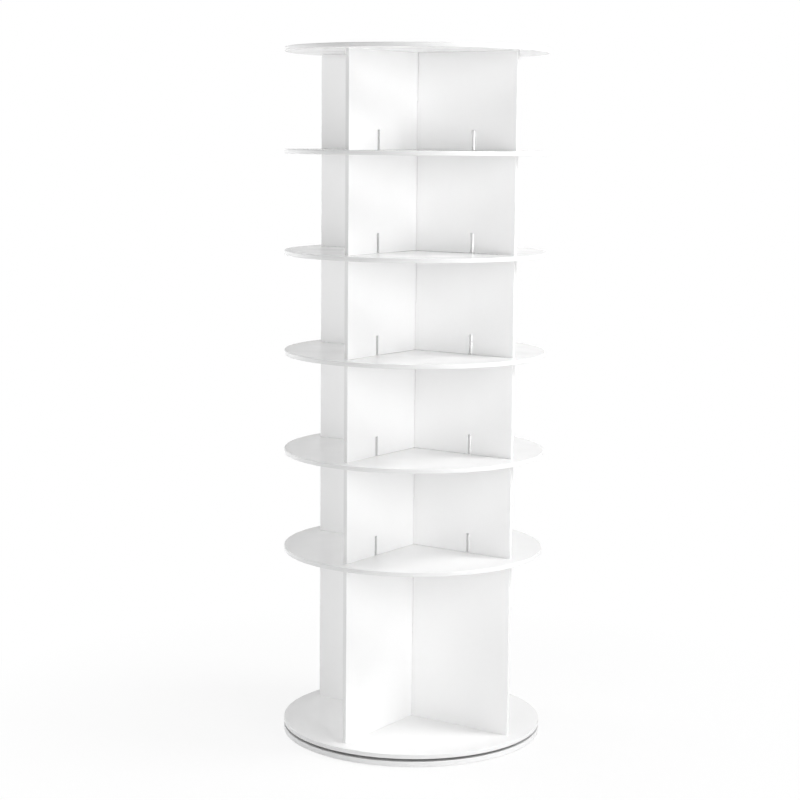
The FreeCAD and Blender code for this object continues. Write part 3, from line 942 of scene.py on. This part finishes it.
ball_steel, tree, shader, place = begin_finish("lapped_chrome_steel", roughness=0.08, metallic=1.0)
lapping = add_node(tree, "ShaderNodeTexNoise", {"Vector": place, "Scale": 1 / LAPPING_PATCH, "Detail": 2.0})
tint = add_node(
    tree, "ShaderNodeMix",
    {SHARE: lapping.outputs["Fac"], COLOUR_A: linear("#C9CBCF"), COLOUR_B: linear("#D6D7DA")},
    data_type="RGBA")
tree.links.new(tint.outputs[MIXED], shader.inputs["Base Color"])
sheen = add_node(
    tree, "ShaderNodeMapRange",
    {"Value": lapping.outputs["Fac"], "From Min": NOISE_LOW, "From Max": NOISE_HIGH,
     "To Min": 0.05, "To Max": 0.12})
tree.links.new(sheen.outputs["Result"], shader.inputs["Roughness"])

race_finishes = {
    "swivel_outer_ring": aluminium,
    "swivel_inner_ring": aluminium,
    "swivel_balls": ball_steel,
    "swivel_ball_cage": nylon,
}
for node, finish in race_finishes.items():
    for slot in nodes[node].material_slots:
        slot.material = finish
print(ball_steel.name, "has", len(tree.nodes), "nodes, and there are", len(bpy.data.materials), "finishes")

# %% [markdown]
# ## What carries what
#
# Each new piece stands for its node of the construction model and moves with the same body: the base
# stays still, and the tower turns. The race keeps its own shapes from the construction model, because
# they are right as they are.

# %% Fix the pieces to their bodies
STILL_NODES = ("base_disc", "base_pads", "swivel_outer_ring_screws")

boards = [(base, "base_disc"), (turntable, "turntable_disc"), (top, "top_disc")]
boards += [(shelf, "shelf_%d" % level) for level, shelf in enumerate(shelves, start=1)]
boards += [(board, node) for node, board in dividers.items()]
made = [(board, node, "white_lacquered_board") for board, node in boards]
made += [(group, node, "zinc_screw") for node, group in screws.items()]
made += [(caps, "top_screw_caps", "cap_plastic"), (pads, "base_pads", "foot_pad_rubber")]
for piece, node, slot in made:
    body = "base" if node in STILL_NODES else "tower"
    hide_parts(node)
    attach(piece, body)
print(len(made), "pieces made,", len(nodes) - len(made), "kept from the construction model")

# %% [markdown]
# ## The studio
#
# A white thing on white needs light that differs from side to side, or its boards run together. Each
# way of facing gets its tone from one or two lamps. A high lamp at the right, a little behind, is the
# key and gives the faces that look right the brightest tone, helped by a tall softbox beside it. A
# softbox at the left shapes the left rims. Weaker ones at the front, the front left and the back left
# fill the shadows between, and a faint one overhead reaches the tops of the shelves. All are large, so
# that their shadows are soft, and their powers are kept low, so that pale faces hold most of their tone.
# An azimuth is counted in degrees from the front, to the right.

# %% Lamps
LAMPS_AIM = Vector((0, 0, 0.8))
SOFTBOX = (1.6, 2.4)


def add_lamp(name, azimuth, height, distance, size, power):
    around = math.radians(azimuth)
    place = Vector((distance * math.sin(around), -distance * math.cos(around), height))
    bpy.ops.object.light_add(type="AREA", location=place)
    lamp = bpy.context.object
    lamp.name = name
    lamp.data.shape = "RECTANGLE"
    lamp.data.size, lamp.data.size_y = size
    lamp.data.energy = power
    lamp.rotation_euler = (LAMPS_AIM - place).to_track_quat("-Z", "Y").to_euler()
    lamp.visible_camera = False
    return lamp


lamps = [
    add_lamp("key_high_right", azimuth=114, height=3.4, distance=2.8, size=(1.6, 1.6), power=116),
    add_lamp("side_right", azimuth=74, height=1.4, distance=3.5, size=SOFTBOX, power=60),
    add_lamp("front", azimuth=14, height=1.4, distance=3.5, size=SOFTBOX, power=31),
    add_lamp("front_left", azimuth=-46, height=1.4, distance=3.5, size=SOFTBOX, power=14),
    add_lamp("side_left", azimuth=-81, height=1.4, distance=3.5, size=SOFTBOX, power=66),
    add_lamp("back_left", azimuth=-116, height=1.4, distance=3.5, size=SOFTBOX, power=16),
    add_lamp("overhead", azimuth=0, height=3.3, distance=0.0, size=(1.2, 1.2), power=4),
]
print(len(lamps), "lamps,", sum(lamp.data.energy for lamp in lamps), "W in all")

# %% [markdown]
# ## The world
#
# The room is white. It gives the object only a little light, from all round, but the camera sees it at
# full white. A Light Path node tells the kinds of ray apart, and the world mixes its two backgrounds by
# that. Rays through glass see full white as well, and mirrored ones see 0.88 of it: a pale board seen
# along its face mirrors the room, and at full white its outline would melt into the background.

# %% World
ROOM_LIGHT = 0.05
MIRRORED_SHARE = 0.88


def seen_ray(tree):
    ray = add_node(tree, "ShaderNodeLightPath", {})
    mirrored = add_node(
        tree, "ShaderNodeMath",
        {0: ray.outputs["Is Glossy Ray"], 1: MIRRORED_SHARE}, operation="MULTIPLY")
    seen = ray.outputs["Is Camera Ray"]
    for other in (mirrored.outputs[0], ray.outputs["Is Transmission Ray"]):
        larger = add_node(tree, "ShaderNodeMath", {0: seen, 1: other}, operation="MAXIMUM")
        seen = larger.outputs[0]
    return seen


world = bpy.data.worlds.new("studio")
bpy.context.scene.world = world
world.use_nodes = True
tree = world.node_tree
room = tree.nodes["Background"]
room.inputs["Color"].default_value = linear("#FFFFFF")
room.inputs["Strength"].default_value = ROOM_LIGHT
white = add_node(tree, "ShaderNodeBackground", {"Color": linear("#FFFFFF"), "Strength": 1.0})
either = add_node(
    tree, "ShaderNodeMixShader", {0: seen_ray(tree), 1: room.outputs[0], 2: white.outputs[0]})
tree.links.new(either.outputs[0], tree.nodes["World Output"].inputs["Surface"])
print(world.name, "has", len(tree.nodes), "nodes")

# %% [markdown]
# ## The floor
#
# The floor is a pale matt sheet, wide enough to have no visible end. The same rays see it as partly
# white: mostly so near the base, where enough of its real shading is left to keep the shadow, and wholly
# from 1.2 m out, where it has to melt into the background.

# %% Floor
FLOOR_SIZE = 60
SHADOW_REACH = 0.35
WHITE_FROM = 1.2
WHITE_AT_BASE = 0.85

bpy.ops.object.select_all(action="DESELECT")
bpy.ops.mesh.primitive_plane_add(size=FLOOR_SIZE)
floor = bpy.context.object
floor.name = "studio_floor"
matt, tree, shader, place = begin_finish("pale_matt_floor", roughness=0.9)
shader.inputs["Base Color"].default_value = linear("#F2F2F2")
glow = add_node(tree, "ShaderNodeEmission", {"Color": linear("#FFFFFF"), "Strength": 1.0})
far = add_node(tree, "ShaderNodeVectorMath", {0: place}, operation="LENGTH")
whiten = add_node(
    tree, "ShaderNodeMapRange",
    {"Value": far.outputs["Value"], "From Min": SHADOW_REACH, "From Max": WHITE_FROM,
     "To Min": WHITE_AT_BASE, "To Max": 1.0})
share = add_node(
    tree, "ShaderNodeMath", {0: seen_ray(tree), 1: whiten.outputs[0]}, operation="MULTIPLY")
blend = add_node(
    tree, "ShaderNodeMixShader", {0: share.outputs[0], 1: shader.outputs[0], 2: glow.outputs[0]})
tree.links.new(blend.outputs[0], tree.nodes["Material Output"].inputs["Surface"])
floor.data.materials.append(matt)
print(floor.name, round(floor.dimensions.x), "m wide")

# %% [markdown]
# ## Finish
#
# The last line sets the scene's view transform to Standard.

# %% Set the view transform
bpy.context.scene.view_settings.view_transform = "Standard"
